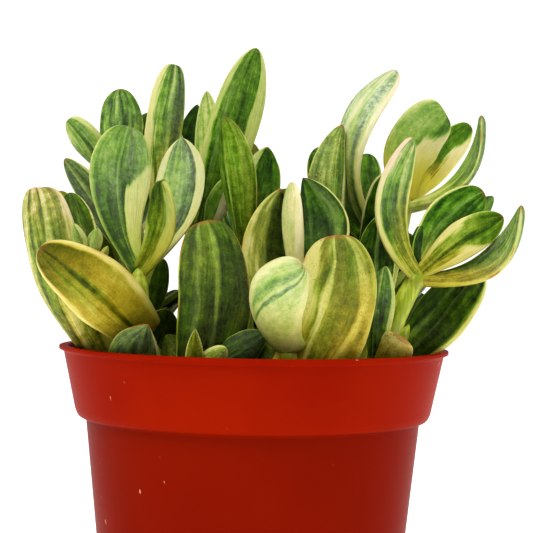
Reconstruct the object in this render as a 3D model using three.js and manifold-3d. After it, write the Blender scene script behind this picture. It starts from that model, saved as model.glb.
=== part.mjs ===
// Potted variegated jade plant: a round nursery pot, its soil and fifteen leafy stems.
// Millimetres, +Z up, origin at the centre of the pot's base, the front of the plant toward -Y.

import * as THREE from "three";
import { mergeVertices } from "three/addons/utils/BufferGeometryUtils.js";
import Module from "manifold-3d";

const wasm = await Module();
wasm.setup();

// Pot
const POT_HEIGHT = 90;
const LIP_RADIUS = 53;
const LIP_THICKNESS = 0.9;
const LIP_ROUNDING = 0.2;
const BAND_TOP_RADIUS = 51.8;
const BAND_FOOT_RADIUS = 48.3;
const BAND_HEIGHT = 18.4;
const BAND_ROUNDING = 1.4;
const SHOULDER_DROP = 1.0;
const INNER_SHOULDER_RISE = 1.2;
const INNER_SHOULDER_DROP = 2.2;
const BODY_TOP_RADIUS = 45.5;
const BASE_RADIUS = 38;
const BASE_ROUNDING = 1.4;
const WALL = 1.2;
const FLOOR = 1.8;
const POT_SIDES = 48;
const DRAIN_COUNT = 8;
const DRAIN_RADIUS = 3.5;
const DRAIN_CIRCLE_RADIUS = 29;
const DRAIN_SIDES = 16;

// Soil
const SOIL_TOP = 78;
const GAP = 0.3;
const HOLE_SIDES = 12;

// Stems and leaves
const ROOT_DEPTH = 8;
const STEM_SIDES = 6;
const STEM_STEPS = 5;
const STEM_BEND = { aside: 0.25, upward: 0.5 };
const BRANCH_BEND = { aside: 0.75, upward: 0.4 };
const LEAF_SIDES = 6;
const LEAF_STATIONS = [0, 0.16, 0.36, 0.58, 0.78, 0.93];
const LEAF_THICKNESS = 3.6;

// Colours, roughness and metalness
const TERRACOTTA = 0xa92408;
const EARTH = 0x3b2a1c;
const LEAF_GREEN = 0x6f9440;
const LEAF_YELLOW = 0xb0a343;

// Where each leafy stem leaves the soil, where it ends, its radius below and above, and its leaves.
// Each leaf: place along the stem (0 soil, 1 crown), azimuth (0 is +X, -90 the front), rise above
// level, length, width, roll about its own length, curl (bow of the midline as a share of the
// length), fold (height of the raised margins as a share of the half width), how pointed the tip
// is (below 0 blunt), how oval the leaf is (0 spoon-shaped, 1 oval, below 0 with a long narrow foot)
// and sweep (sideways bow of the midline as a share of the length).
const STEMS = [
  {
    name: "leafy_stem_left", colour: LEAF_GREEN,
    foot: [-29, -27], crown: [-30, -20, 110], radii: [3.0, 2.2],
    leaves: [
      [1.0, 109, 69, 42, 16.5, -6, 0.1, 0.1, -0.25, -0.5, -0.08],
      [1.0, 60, 63, 41, 14.5, 13, 0.12, 0.15, 0.35, -0.3, 0.06],
      [1.0, -58, 63, 26, 10, 110, 0.12, 0.25, -0.2, 0.5, 0.05],
      [0.5, -128, 32, 41, 17, 48, 0.06, 0.08, -0.1, 1.3, -0.05],
      [0.1, -76, 50, 21, 13.5, -19, 0.05, 0.1, 1.0, 1.3, 0.1],
    ],
  },
  {
    name: "leafy_stem_far_left", colour: LEAF_YELLOW,
    foot: [-38.5, -12], crown: [-42, -28, 112], radii: [2.8, 2.0],
    leaves: [
      [0.2, -145, 65, 51, 17.5, 28, 0.14, 0.5, -0.6, 0.4, 0],
      [0.75, 149, 65, 30, 6.5, 98, 0.05, 0.3, -0.3, 0.6, 0],
      [0.9, 151, 70, 23, 9, -43, 0.05, 0.15, 0.1, 0.3, 0],
      [1.0, -117, 55, 12, 4, 2, 0.05, 0.1, 0.6, 0, 0],
      [1.0, -59, 63, 10, 4, -24, 0.05, 0.1, 0.6, 0, 0],
      [0.9, -56, 44, 11, 2.5, -34, 0, 0.1, 0.6, 0, 0],
    ],
  },
  {
    name: "leafy_stem_back_left", colour: LEAF_GREEN,
    foot: [-27, 6], crown: [-38, 8, 136], radii: [3.0, 2.2],
    leaves: [
      [0.97, -151, 46, 24, 9.5, 38, 0.05, 0.1, -0.2, 0.2, -0.03],
      [1.0, 101, 66, 29, 12.5, -12, 0.05, 0.1, 0, 0.3, 0],
      [0.98, 72, 52, 27, 8.5, 3, 0.05, 0.1, 0.3, 0.2, 0],
      [0.55, -162, 54, 38, 9, 60, 0.03, 0.1, 0.2, 0.6, -0.03],
      [0.15, -58, 62, 15, 9.5, 155, 0.05, 0.1, 0.2, 0.5, 0],
      [0.3, -49, 72, 19, 5.5, 148, 0.03, 0.1, 0.2, 0.6, 0],
    ],
    branch: {
      at: 0.4, crown: [-27, 4, 127], radii: [2.4, 2.0],
      leaves: [
        [1.0, 62, 81, 42, 10.5, 33, 0.05, 0.1, -0.35, 0.5, -0.03],
        [0.9, 59, 62, 39, 7.5, 19, 0.05, 0.1, 0.4, 0, 0],
      ],
    },
  },
  {
    name: "leafy_stem_tall", colour: LEAF_GREEN,
    foot: [-13, 2], crown: [-14, 2, 123], radii: [3.2, 2.4],
    leaves: [
      [0.97, 95, 76, 41, 8.5, -35, 0.04, 0.2, 0.4, 0.2, 0],
      [1.0, 0, 75, 51, 14, 98, 0.06, 0.12, 0.15, 0.5, 0],
      [0.95, -52, 56, 18, 6.5, 146, 0.03, 0.1, 0.1, 0.4, 0],
      [0.5, 129, 74, 27, 7, -30, 0.03, 0.1, 0.1, 0.6, 0],
    ],
  },
  {
    name: "leafy_stem_front_middle", colour: LEAF_GREEN,
    foot: [-15, -33], crown: [-11, -33, 90], radii: [3.0, 2.6],
    leaves: [
      [0.35, 71, 86, 41, 18.5, -151, 0.07, 0.06, -0.4, 1.1, -0.08],
      [0.1, -86, 60, 20, 5, -4, 0.05, 0.1, 0.8, 1, 0],
      [0.5, -57, 32, 15, 6.5, -60, 0.05, 0.1, 0.1, 0.6, 0],
      [0.5, -10, 34, 20, 8.5, -89, 0.05, 0.1, 0.2, 0.2, 0],
      [0.3, 140, 50, 16, 8, 118, 0.05, 0.1, 0.2, 0.6, 0],
    ],
  },
  {
    name: "leafy_stem_centre", colour: LEAF_GREEN,
    foot: [-3, -8], crown: [-3, -10, 115], radii: [3.0, 2.3],
    leaves: [
      [1.0, -133, 77, 37, 10, 23, 0.04, 0.45, 0.2, 0.4, -0.035],
      [0.95, 88, 53, 43, 9.5, 3, 0.04, 0.1, 0.1, 0.2, 0],
      [1.0, 60, 69, 32, 11.5, 44, 0.05, 0.3, 0.5, 0.2, 0],
      [0.97, 66, 55, 34, 7.5, 9, 0.05, 0.2, 0.4, 0, 0],
    ],
  },
  {
    name: "leafy_stem_middle_right", colour: LEAF_GREEN,
    foot: [12, -21], crown: [12, -24, 107], radii: [3.0, 2.3],
    leaves: [
      [1.0, -124, 80, 27, 9.5, -26, 0.02, 0.1, 0.1, 0.4, 0.05],
      [1.0, 89, 68, 31, 13.5, -14, 0.12, 0.12, 0.7, 0.7, 0.17],
      [0.55, 124, 76, 40, 16, -15, 0.1, 0.12, 0.8, 0.8, -0.11],
    ],
  },
  {
    name: "leafy_stem_front_right", colour: LEAF_YELLOW,
    foot: [11, -37], crown: [9, -39, 92], radii: [3.0, 2.8],
    leaves: [
      [0.38, -16, 75, 38, 21.5, -79, 0.05, 0.06, -0.3, 1.2, -0.1],
      [1.0, -82, 50, 27, 15, -35, 0.12, 0.15, -0.2, 1.1, 0.16],
      [0.25, 150, 48, 15, 7.5, 115, 0.05, 0.1, 0.2, 0.6, 0],
    ],
  },
  {
    name: "leafy_stem_back_right", colour: LEAF_GREEN,
    foot: [22, 0], crown: [31, 0, 124], radii: [3.0, 2.3],
    leaves: [
      [1.0, -26, 80, 42.5, 13.5, -116, 0.2, 0.12, 0.1, 0, 0],
      [0.55, -111, 79, 48, 13, 52, 0.04, 0.4, 0.4, 0.3, 0.12],
      [0.95, 158, 58, 28, 14.5, -42, 0.05, 0.1, 0.2, 0.5, -0.04],
      [0.98, 88, 53, 27, 8.5, 5, 0.05, 0.1, -0.3, 0.2, 0],
      [0.85, -77, 43, 29, 7, 145, 0.05, 0.1, 0.3, 0.3, 0],
    ],
  },
  {
    name: "leafy_stem_right_high", colour: LEAF_GREEN,
    foot: [31, -4], crown: [41, -2, 130], radii: [3.0, 2.3],
    leaves: [
      [1.0, 0, 68, 27, 16.5, 115, 0.12, 0.08, -0.55, 0.3, -0.15],
      [1.0, 29, 47, 31, 10.5, 88, 0.08, 0.1, -0.1, 0.3, 0],
      [0.98, -23, 50, 32, 11.5, 33, 0.23, 0.1, 0.6, 0, 0],
      [0.35, -96, 74, 31, 11, -163, 0.05, 0.1, 0.4, 0, 0],
    ],
  },
  {
    name: "leafy_stem_right_front", colour: LEAF_YELLOW,
    foot: [30, -24], crown: [42, -22, 110], radii: [2.9, 2.4],
    leaves: [
      [1.0, -104, 70, 37, 11.5, -127, 0.12, 0.35, 0.1, 0.2, -0.15],
      [0.98, -30, 34, 34, 11.5, 50, 0.29, 0.15, 0.8, 0, 0],
      [1.0, 36, 44, 33, 13.5, 78, 0.1, 0.1, -0.1, 0.3, -0.06],
      [1.0, -5, 36, 27, 10, 88, 0.06, 0.15, 0.1, 0.2, -0.04],
      [0.98, 39, 38, 37, 7, 63, 0.05, 0.1, 0.2, 0, 0],
      [1.0, 76, 65, 15, 5, 65, 0.05, 0.2, 0.7, 0, 0],
      [0.2, -50, 47, 14, 10.5, -54, 0, 0.05, -0.6, 1, 0],
      [0.2, -74, 77, 29, 8, -46, 0.05, 0.1, 0.4, 0, 0],
    ],
  },
  {
    name: "leafy_stem_right_low", colour: LEAF_GREEN,
    foot: [37, -8], crown: [42, -8, 96], radii: [2.8, 2.3],
    leaves: [
      [0.5, 5, 50, 34, 15.5, -124, 0.08, 0.1, 0.2, 0.9, -0.05],
    ],
  },
];

// Stems at the back, with their leaves in crossed pairs
const PAIRS = 6;
const LOWEST_PAIR = 0.2;
const PAIRED_LEAF_SHAPE = [0.1, 0.14, 0.1, 0.1, 0];
const REAR_STEMS = [
  {
    name: "leafy_stem_rear_left", colour: LEAF_GREEN,
    foot: [-37, 17], crown: [-42, 27, 118], radii: [3.0, 2.2], firstAzimuth: 66, seed: 30351,
  },
  {
    name: "leafy_stem_rear_middle", colour: LEAF_GREEN,
    foot: [2, 31], crown: [0, 38, 115], radii: [3.0, 2.2], firstAzimuth: 135, seed: 30351,
  },
  {
    name: "leafy_stem_rear_right", colour: LEAF_GREEN,
    foot: [27.5, 23], crown: [36, 32, 118], radii: [3.0, 2.2], firstAzimuth: 50, seed: 15321,
  },
];

// Solids

function solidOf(geometry) {
  const bare = geometry.clone();
  bare.deleteAttribute("normal");
  bare.deleteAttribute("uv");
  const merged = mergeVertices(bare, 1e-4);
  return new wasm.Manifold(new wasm.Mesh({
    numProp: 3,
    vertProperties: new Float32Array(merged.attributes.position.array),
    triVerts: new Uint32Array(merged.index.array),
  }));
}

function geometryOf(solid) {
  const mesh = solid.getMesh();
  const geometry = new THREE.BufferGeometry();
  geometry.setAttribute("position", new THREE.BufferAttribute(new Float32Array(mesh.vertProperties), 3));
  geometry.setIndex(new THREE.BufferAttribute(new Uint32Array(mesh.triVerts), 1));
  geometry.computeVertexNormals();
  return geometry;
}

// A closed skin over rings of points, each ring running the same way round; the last entry may be
// a single point.
function skin(rings) {
  const sides = rings[0].length;
  const positions = rings.flat().flatMap((point) => [point.x, point.y, point.z]);
  const index = [];
  const pointed = rings.at(-1).length === 1;
  const lastRing = rings.length - (pointed ? 2 : 1);
  for (let ring = 0; ring < lastRing; ring += 1) {
    for (let side = 0; side < sides; side += 1) {
      const here = ring * sides + side;
      const next = ring * sides + (side + 1) % sides;
      index.push(here, next, next + sides, here, next + sides, here + sides);
    }
  }
  const top = lastRing * sides;
  for (let side = 1; side < sides - 1; side += 1) {
    index.push(0, side + 1, side);
  }
  if (pointed) {
    for (let side = 0; side < sides; side += 1) {
      index.push(top + side, top + (side + 1) % sides, top + sides);
    }
  } else {
    for (let side = 1; side < sides - 1; side += 1) {
      index.push(top, top + side, top + side + 1);
    }
  }
  const geometry = new THREE.BufferGeometry();
  geometry.setAttribute("position", new THREE.Float32BufferAttribute(positions, 3));
  geometry.setIndex(index);
  return geometry;
}

// Pot: a turned shell with a wide band below the lip and a tapered body

const bandFoot = POT_HEIGHT - BAND_HEIGHT;
const innerBandFoot = bandFoot + INNER_SHOULDER_RISE;
const innerBodyTop = bandFoot - INNER_SHOULDER_DROP;
const innerTopRadius = BAND_TOP_RADIUS - WALL;
const innerBandFootRadius = BAND_FOOT_RADIUS - WALL;
const innerBodyTopRadius = BODY_TOP_RADIUS - WALL;
const innerBaseRadius = BASE_RADIUS - WALL;

function potGeometry() {
  const outline = [
    [0, 0],
    [BASE_RADIUS - BASE_ROUNDING, 0],
    [BASE_RADIUS, BASE_ROUNDING],
    [BODY_TOP_RADIUS, bandFoot - SHOULDER_DROP],
    [BAND_FOOT_RADIUS - BAND_ROUNDING, bandFoot - SHOULDER_DROP / 2],
    [BAND_FOOT_RADIUS, bandFoot + BAND_ROUNDING],
    [BAND_TOP_RADIUS, POT_HEIGHT - LIP_THICKNESS - LIP_ROUNDING],
    [LIP_RADIUS, POT_HEIGHT - LIP_THICKNESS],
    [LIP_RADIUS, POT_HEIGHT - LIP_ROUNDING],
    [LIP_RADIUS - LIP_ROUNDING, POT_HEIGHT],
    [innerTopRadius, POT_HEIGHT],
    [innerBandFootRadius, innerBandFoot],
    [innerBodyTopRadius, innerBodyTop],
    [innerBaseRadius, FLOOR],
    [0, FLOOR],
  ].map(([radius, height]) => new THREE.Vector2(radius, height));
  const shell = new THREE.LatheGeometry(outline, POT_SIDES);
  shell.rotateX(Math.PI / 2);
  let solid = solidOf(shell);
  for (let hole = 0; hole < DRAIN_COUNT; hole += 1) {
    const angle = (hole / DRAIN_COUNT) * 2 * Math.PI;
    const drain = new THREE.CylinderGeometry(DRAIN_RADIUS, DRAIN_RADIUS, 4 * FLOOR, DRAIN_SIDES);
    drain.rotateX(Math.PI / 2);
    drain.translate(DRAIN_CIRCLE_RADIUS * Math.cos(angle), DRAIN_CIRCLE_RADIUS * Math.sin(angle), 0);
    solid = solid.subtract(solidOf(drain));
  }
  return geometryOf(solid);
}

// Soil: fills the pot's inside up to its top, with a hole round each stem's root

function soilGeometry(stems) {
  const bandShare = (SOIL_TOP - innerBandFoot) / (POT_HEIGHT - innerBandFoot);
  const topRadius = innerBandFootRadius + bandShare * (innerTopRadius - innerBandFootRadius);
  const outline = [
    [0, FLOOR + GAP],
    [innerBaseRadius - GAP, FLOOR + GAP],
    [innerBodyTopRadius - GAP, innerBodyTop],
    [innerBandFootRadius - GAP, innerBandFoot],
    [topRadius - GAP, SOIL_TOP],
    [0, SOIL_TOP],
  ].map(([radius, height]) => new THREE.Vector2(radius, height));
  const body = new THREE.LatheGeometry(outline, POT_SIDES);
  body.rotateX(Math.PI / 2);
  let solid = solidOf(body);
  for (const stem of stems) {
    const radius = stem.radii[0] + 2 * GAP;
    const hole = new THREE.CylinderGeometry(radius, radius, 2 * (ROOT_DEPTH + GAP), HOLE_SIDES);
    hole.rotateX(Math.PI / 2);
    hole.translate(stem.foot[0], stem.foot[1], SOIL_TOP);
    solid = solid.subtract(solidOf(hole));
  }
  return geometryOf(solid);
}

// Stems: each rises from the soil and bends toward its crown

function stemPath(start, crown, bend) {
  const middle = new THREE.Vector3(
    THREE.MathUtils.lerp(start.x, crown.x, bend.aside),
    THREE.MathUtils.lerp(start.y, crown.y, bend.aside),
    THREE.MathUtils.lerp(start.z, crown.z, bend.upward),
  );
  return new THREE.QuadraticBezierCurve3(start, middle, crown);
}

function stemSolid(path, radii, rootDepth) {
  const rings = [];
  const ring = (centre, along, radius) => {
    const across = new THREE.Vector3(1, 0, 0).addScaledVector(along, -along.x).normalize();
    const third = new THREE.Vector3().crossVectors(along, across);
    return Array.from({ length: STEM_SIDES }, (_, side) => {
      const angle = (side / STEM_SIDES) * 2 * Math.PI;
      return centre.clone()
        .addScaledVector(across, radius * Math.cos(angle))
        .addScaledVector(third, radius * Math.sin(angle));
    });
  };
  if (rootDepth > 0) {
    const up = new THREE.Vector3(0, 0, 1);
    const start = path.getPoint(0);
    rings.push(ring(start.clone().addScaledVector(up, -rootDepth), up, radii[0]));
    rings.push(ring(start, up, radii[0]));
  } else {
    rings.push(ring(path.getPoint(0), path.getTangent(0), radii[0]));
  }
  for (let step = 1; step <= STEM_STEPS; step += 1) {
    const share = step / STEM_STEPS;
    const radius = radii[0] + (radii[1] - radii[0]) * share;
    rings.push(ring(path.getPoint(share), path.getTangent(share), radius));
  }
  return solidOf(skin(rings));
}

// Leaves: a thick blade on a bowed midline, narrow at its foot and widest past the middle

function leafWidthAt(share, pointed, oval) {
  const widest = 0.62 - 0.14 * oval;
  const foot = 0.3 + 0.35 * Math.max(0, oval);
  if (share < widest) {
    const rising = share / widest;
    const steepness = 0.8 - 0.5 * Math.min(0, oval);
    return foot + (1 - foot) * (rising * rising * (3 - 2 * rising)) ** steepness;
  }
  const falling = (share - widest) / (1 - widest);
  return Math.max(0, 1 - falling ** 2.2) ** (0.5 + 0.45 * pointed);
}

function leafSolid(base, azimuth, rise, length, width, roll, curl, fold, pointed, oval, sweep) {
  const turn = THREE.MathUtils.degToRad;
  const outward = new THREE.Vector3(Math.cos(turn(azimuth)), Math.sin(turn(azimuth)), 0);
  const up = new THREE.Vector3(0, 0, 1);
  const along = outward.clone().multiplyScalar(Math.cos(turn(rise)))
    .addScaledVector(up, Math.sin(turn(rise)));
  const level = outward.clone().multiplyScalar(-Math.sin(turn(rise)))
    .addScaledVector(up, Math.cos(turn(rise)));
  const face = level.clone().applyAxisAngle(along, turn(roll));
  const across = new THREE.Vector3().crossVectors(along, face);
  const tip = base.clone().addScaledVector(along, length);
  const bow = base.clone().addScaledVector(along, length / 2)
    .addScaledVector(face, -2 * curl * length)
    .addScaledVector(across, 2 * sweep * length);
  const midline = new THREE.QuadraticBezierCurve3(base, bow, tip);
  const rings = LEAF_STATIONS.map((share) => {
    const centre = midline.getPoint(share);
    const tangent = midline.getTangent(share);
    const side = new THREE.Vector3().crossVectors(tangent, face).normalize();
    const normal = new THREE.Vector3().crossVectors(side, tangent);
    const part = leafWidthAt(share, pointed, oval);
    const half = (width / 2) * part;
    const thick = LEAF_THICKNESS * (1 - 0.5 * share ** 3) * Math.sqrt(Math.min(1, part / 0.3));
    return Array.from({ length: LEAF_SIDES }, (_, corner) => {
      const angle = -(corner / LEAF_SIDES) * 2 * Math.PI;
      const swell = Math.sin(angle) * (Math.sin(angle) > 0 ? 0.4 : 0.6);
      const raised = fold * half * Math.cos(angle) ** 2;
      return centre.clone()
        .addScaledVector(side, half * Math.cos(angle))
        .addScaledVector(normal, thick * swell + raised);
    });
  });
  rings.push([tip]);
  return solidOf(skin(rings));
}

// A small repeatable sequence of numbers from -1 to 1
function sequence(seed) {
  let state = seed;
  return () => {
    state = (state * 16807) % 2147483647;
    return (state / 2147483647) * 2 - 1;
  };
}

// Crossed pairs from LOWEST_PAIR up the stem to the crown: each pair a quarter turn from the one
// below it, steeper and shorter, with small turns and size changes of its own
function pairedLeaves(firstAzimuth, seed) {
  const draw = sequence(seed);
  const leaves = [];
  for (let pair = 0; pair < PAIRS; pair += 1) {
    const height = (pair + 1) / PAIRS;
    for (const half of [0, 180]) {
      const azimuth = firstAzimuth + 90 * pair + half + 12 * draw();
      const rise = 22 + 40 * height + 6 * draw();
      const length = 31 - 8 * height + 3 * draw();
      const width = length * (0.5 + 0.05 * draw());
      const roll = 14 * draw();
      const at = THREE.MathUtils.lerp(LOWEST_PAIR, 1, height);
      leaves.push([at, azimuth, rise, length, width, roll, ...PAIRED_LEAF_SHAPE]);
    }
  }
  return leaves;
}

function leavesAlong(path, rows) {
  return rows.map(([at, ...shape]) => leafSolid(path.getPoint(at), ...shape));
}

function leafyStem(stem) {
  const foot = new THREE.Vector3(stem.foot[0], stem.foot[1], SOIL_TOP);
  const path = stemPath(foot, new THREE.Vector3(...stem.crown), STEM_BEND);
  const pieces = [stemSolid(path, stem.radii, ROOT_DEPTH), ...leavesAlong(path, stem.leaves)];
  if (stem.branch) {
    const start = path.getPoint(stem.branch.at);
    const side = stemPath(start, new THREE.Vector3(...stem.branch.crown), BRANCH_BEND);
    pieces.push(stemSolid(side, stem.branch.radii, 0), ...leavesAlong(side, stem.branch.leaves));
  }
  const joined = pieces.reduce((whole, piece) => whole.add(piece));
  const geometry = geometryOf(joined);
  geometry.translate(-foot.x, -foot.y, -foot.z);
  const material = new THREE.MeshStandardMaterial({ color: stem.colour, roughness: 0.35, metalness: 0 });
  const mesh = new THREE.Mesh(geometry, material);
  mesh.name = stem.name;
  mesh.position.copy(foot);
  return mesh;
}

// Assembly

const stems = [
  ...STEMS,
  ...REAR_STEMS.map((stem) => ({ ...stem, leaves: pairedLeaves(stem.firstAzimuth, stem.seed) })),
];

const group = new THREE.Group();

const pot = new THREE.Mesh(
  potGeometry(),
  new THREE.MeshStandardMaterial({ color: TERRACOTTA, roughness: 0.3, metalness: 0 }),
);
pot.name = "pot";
group.add(pot);

const soil = new THREE.Mesh(
  soilGeometry(stems),
  new THREE.MeshStandardMaterial({ color: EARTH, roughness: 1, metalness: 0 }),
);
soil.name = "soil";
group.add(soil);

for (const stem of stems) {
  group.add(leafyStem(stem));
}

export default group;
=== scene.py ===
import math

import bpy
import numpy as np
from mathutils import Matrix, Vector, noise


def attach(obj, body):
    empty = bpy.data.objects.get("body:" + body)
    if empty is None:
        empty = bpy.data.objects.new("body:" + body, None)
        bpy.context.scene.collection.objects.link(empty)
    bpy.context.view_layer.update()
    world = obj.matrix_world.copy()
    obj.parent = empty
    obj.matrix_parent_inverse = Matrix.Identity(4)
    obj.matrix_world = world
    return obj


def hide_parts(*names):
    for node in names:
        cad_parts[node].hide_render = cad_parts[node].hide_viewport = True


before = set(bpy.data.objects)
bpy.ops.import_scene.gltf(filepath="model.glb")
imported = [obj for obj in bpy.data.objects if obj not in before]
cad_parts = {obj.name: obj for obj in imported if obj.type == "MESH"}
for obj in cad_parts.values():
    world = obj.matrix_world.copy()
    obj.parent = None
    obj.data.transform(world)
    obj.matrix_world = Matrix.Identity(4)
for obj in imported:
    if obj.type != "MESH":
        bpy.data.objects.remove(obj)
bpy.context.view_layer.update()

# Pot: one thin shell of glossy terracotta-red plastic, moulded with a flared lip, a wide band below
# it, a stepped-in tapered body and drain holes in the floor. It stands free on its flat base.
MM = 0.001
POT_HEIGHT = 90.0
LIP_RADIUS = 53.0
BAND_TOP_RADIUS = 51.8
BAND_FOOT_RADIUS = 48.3
BAND_FOOT = 71.6
BODY_TOP_RADIUS = 45.5
BASE_RADIUS = 38.0
WALL = 1.2
FLOOR = 1.8
SHOULDER_RISE = 1.2
SHOULDER_DROP = 2.2
POT_SIDES = 160
CORNER_STEPS = 5
DRAIN_COUNT = 8
DRAIN_RADIUS = 3.5
DRAIN_CIRCLE = 29.0
DRAIN_SIDES = 40
# Radius, height and rounding of each corner of the shell's cross-section, up the outside and down
# the inside
POT_CORNERS = [
    (0.0, 0.0, 0.0),
    (BASE_RADIUS, 0.0, 1.6),
    (BODY_TOP_RADIUS, BAND_FOOT - 1.0, 0.35),
    (BAND_FOOT_RADIUS - 0.7, BAND_FOOT - 0.5, 0.8),
    (BAND_FOOT_RADIUS + 0.1, BAND_FOOT + SHOULDER_RISE, 0.8),
    (BAND_TOP_RADIUS - 0.05, POT_HEIGHT - 1.4, 0.5),
    (LIP_RADIUS, POT_HEIGHT - 0.9, 0.12),
    (LIP_RADIUS, POT_HEIGHT, 0.3),
    (BAND_TOP_RADIUS - WALL, POT_HEIGHT, 0.35),
    (BAND_FOOT_RADIUS - WALL, BAND_FOOT + SHOULDER_RISE, 0.5),
    (BODY_TOP_RADIUS - WALL, BAND_FOOT - SHOULDER_DROP, 0.5),
    (BASE_RADIUS - WALL, FLOOR, 1.2),
    (0.0, FLOOR, 0.0),
]


class Signal:
    """A value in a node tree; arithmetic on it adds Math nodes."""

    def __init__(self, nodes, socket):
        self.nodes = nodes
        self.socket = socket

    def maths(self, operation, *values):
        return self.nodes.add("ShaderNodeMath", dict(enumerate(values)), operation=operation)

    def __add__(self, other):
        return self.maths("ADD", self, other)

    def __sub__(self, other):
        return self.maths("SUBTRACT", self, other)

    def __rsub__(self, other):
        return self.maths("SUBTRACT", other, self)

    def __mul__(self, other):
        return self.maths("MULTIPLY", self, other)

    def __truediv__(self, other):
        return self.maths("DIVIDE", self, other)

    __radd__ = __add__
    __rmul__ = __mul__

    def size(self):
        return self.maths("ABSOLUTE", self)

    def at_most(self, other):
        return self.maths("MINIMUM", self, other)

    def at_least(self, other):
        return self.maths("MAXIMUM", self, other)

    def over(self, low, high):
        """0 below low and 1 above high, with a soft step between them."""
        inputs = {0: self, 1: low, 2: high}
        return self.nodes.add("ShaderNodeMapRange", inputs, interpolation_type="SMOOTHSTEP")


class Nodes:
    """The nodes of one tree, added one at a time."""

    def __init__(self, tree):
        self.tree = tree
        tree.nodes.clear()

    def add(self, kind, inputs=None, output=0, **settings):
        """A new node with these settings and inputs, given as the signal of one of its outputs."""
        node = self.tree.nodes.new(kind)
        for name, value in settings.items():
            setattr(node, name, value)
        for name, value in (inputs or {}).items():
            if isinstance(value, Signal):
                self.tree.links.new(value.socket, node.inputs[name])
            else:
                node.inputs[name].default_value = value
        return Signal(self, node.outputs[output]) if len(node.outputs) else None

    def ramp(self, value, places, colours):
        """One colour after another as the value passes the places."""
        shown = self.add("ShaderNodeValToRGB", {"Fac": value})
        stops = shown.socket.node.color_ramp.elements
        while len(stops) < len(places):
            stops.new(0.5)
        for stop, place, shade in zip(stops, places, colours):
            stop.position = place
            stop.color = colour(*shade)
        return shown

    def mix(self, share, first, second):
        inputs = {0: share, 6: first, 7: second}
        return self.add("ShaderNodeMix", inputs, output=2, data_type="RGBA")

    def noise(self, place, scale, detail=2.0, rough=0.5):
        inputs = {"Vector": place, "Scale": scale, "Detail": detail, "Roughness": rough}
        return self.add("ShaderNodeTexNoise", inputs)

    def stretched(self, place, scale):
        return self.add("ShaderNodeMapping", {"Vector": place, "Scale": scale})

    def object_place(self):
        return self.add("ShaderNodeTexCoord", output="Object")

    def finish_surface(self, inputs, height=None, depth=0.0):
        """The tree's surface, with a relief of the given depth in mm where a height is given."""
        if height is not None:
            relief = {"Height": height, "Distance": depth * MM}
            inputs = {**inputs, "Normal": self.add("ShaderNodeBump", relief)}
        surface = self.add("ShaderNodeBsdfPrincipled", inputs)
        self.add("ShaderNodeOutputMaterial", {"Surface": surface})


def colour(red, green, blue):
    """A colour given as 0 to 255 on a screen, as the shader's linear light."""
    parts = [value / 255 for value in (red, green, blue)]
    linear = [part / 12.92 if part < 0.04045 else ((part + 0.055) / 1.055) ** 2.4 for part in parts]
    return (*linear, 1.0)


def new_material(name):
    material = bpy.data.materials.new(name)
    material.use_nodes = True
    return material, Nodes(material.node_tree)


def rounded_outline(corners):
    """The corners joined by straight runs, each corner turned into a short arc."""
    points = []
    for index, (radius, height, rounding) in enumerate(corners):
        corner = Vector((radius, height))
        if rounding == 0.0:
            points.append(corner)
            continue
        before = (Vector(corners[index - 1][:2]) - corner).normalized() * rounding
        after = (Vector(corners[index + 1][:2]) - corner).normalized() * rounding
        for step in range(CORNER_STEPS + 1):
            share = step / CORNER_STEPS
            points.append(corner + before * (1 - share) ** 2 + after * share**2)
    return points


def turned_mesh(name, outline, sides):
    """A closed solid turned about the vertical axis from an outline that starts and ends on it."""
    points = [(0.0, 0.0, outline[0].y * MM), (0.0, 0.0, outline[-1].y * MM)]
    faces = []
    rings = outline[1:-1]
    for radius, height in rings:
        for side in range(sides):
            angle = 2 * math.pi * side / sides
            points.append((radius * math.cos(angle) * MM, radius * math.sin(angle) * MM, height * MM))
    for side in range(sides):
        following = (side + 1) % sides
        faces.append((0, 2 + following, 2 + side))
        last = 2 + (len(rings) - 1) * sides
        faces.append((1, last + side, last + following))
        for ring in range(len(rings) - 1):
            here = 2 + ring * sides
            above = here + sides
            faces.append((here + side, here + following, above + following, above + side))
    mesh = bpy.data.meshes.new(name)
    mesh.from_pydata(points, [], faces)
    mesh.validate()
    return mesh


def new_object(name, data):
    made = bpy.data.objects.new(name, data)
    bpy.context.collection.objects.link(made)
    return made


def new_tree(name, numbers):
    """An empty Geometry Nodes tree with a mesh, a material and named numbers as its inputs."""
    tree = bpy.data.node_groups.new(name, "GeometryNodeTree")
    tree.interface.new_socket("Mesh", in_out="INPUT", socket_type="NodeSocketGeometry")
    tree.interface.new_socket("Material", in_out="INPUT", socket_type="NodeSocketMaterial")
    for number in numbers:
        kind = "NodeSocketInt" if isinstance(numbers[number], int) else "NodeSocketFloat"
        tree.interface.new_socket(number, in_out="INPUT", socket_type=kind)
    tree.interface.new_socket("Mesh", in_out="OUTPUT", socket_type="NodeSocketGeometry")
    nodes = Nodes(tree)
    source = tree.nodes.new("NodeGroupInput")
    given = {socket.name: Signal(nodes, socket) for socket in source.outputs if socket.name}
    return tree, nodes, given


def end_tree(nodes, geometry, material):
    whole = nodes.add("GeometryNodeRealizeInstances", {"Geometry": geometry})
    painted = nodes.add("GeometryNodeSetMaterial", {"Geometry": whole, "Material": material})
    nodes.add("NodeGroupOutput", {0: painted})


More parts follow.
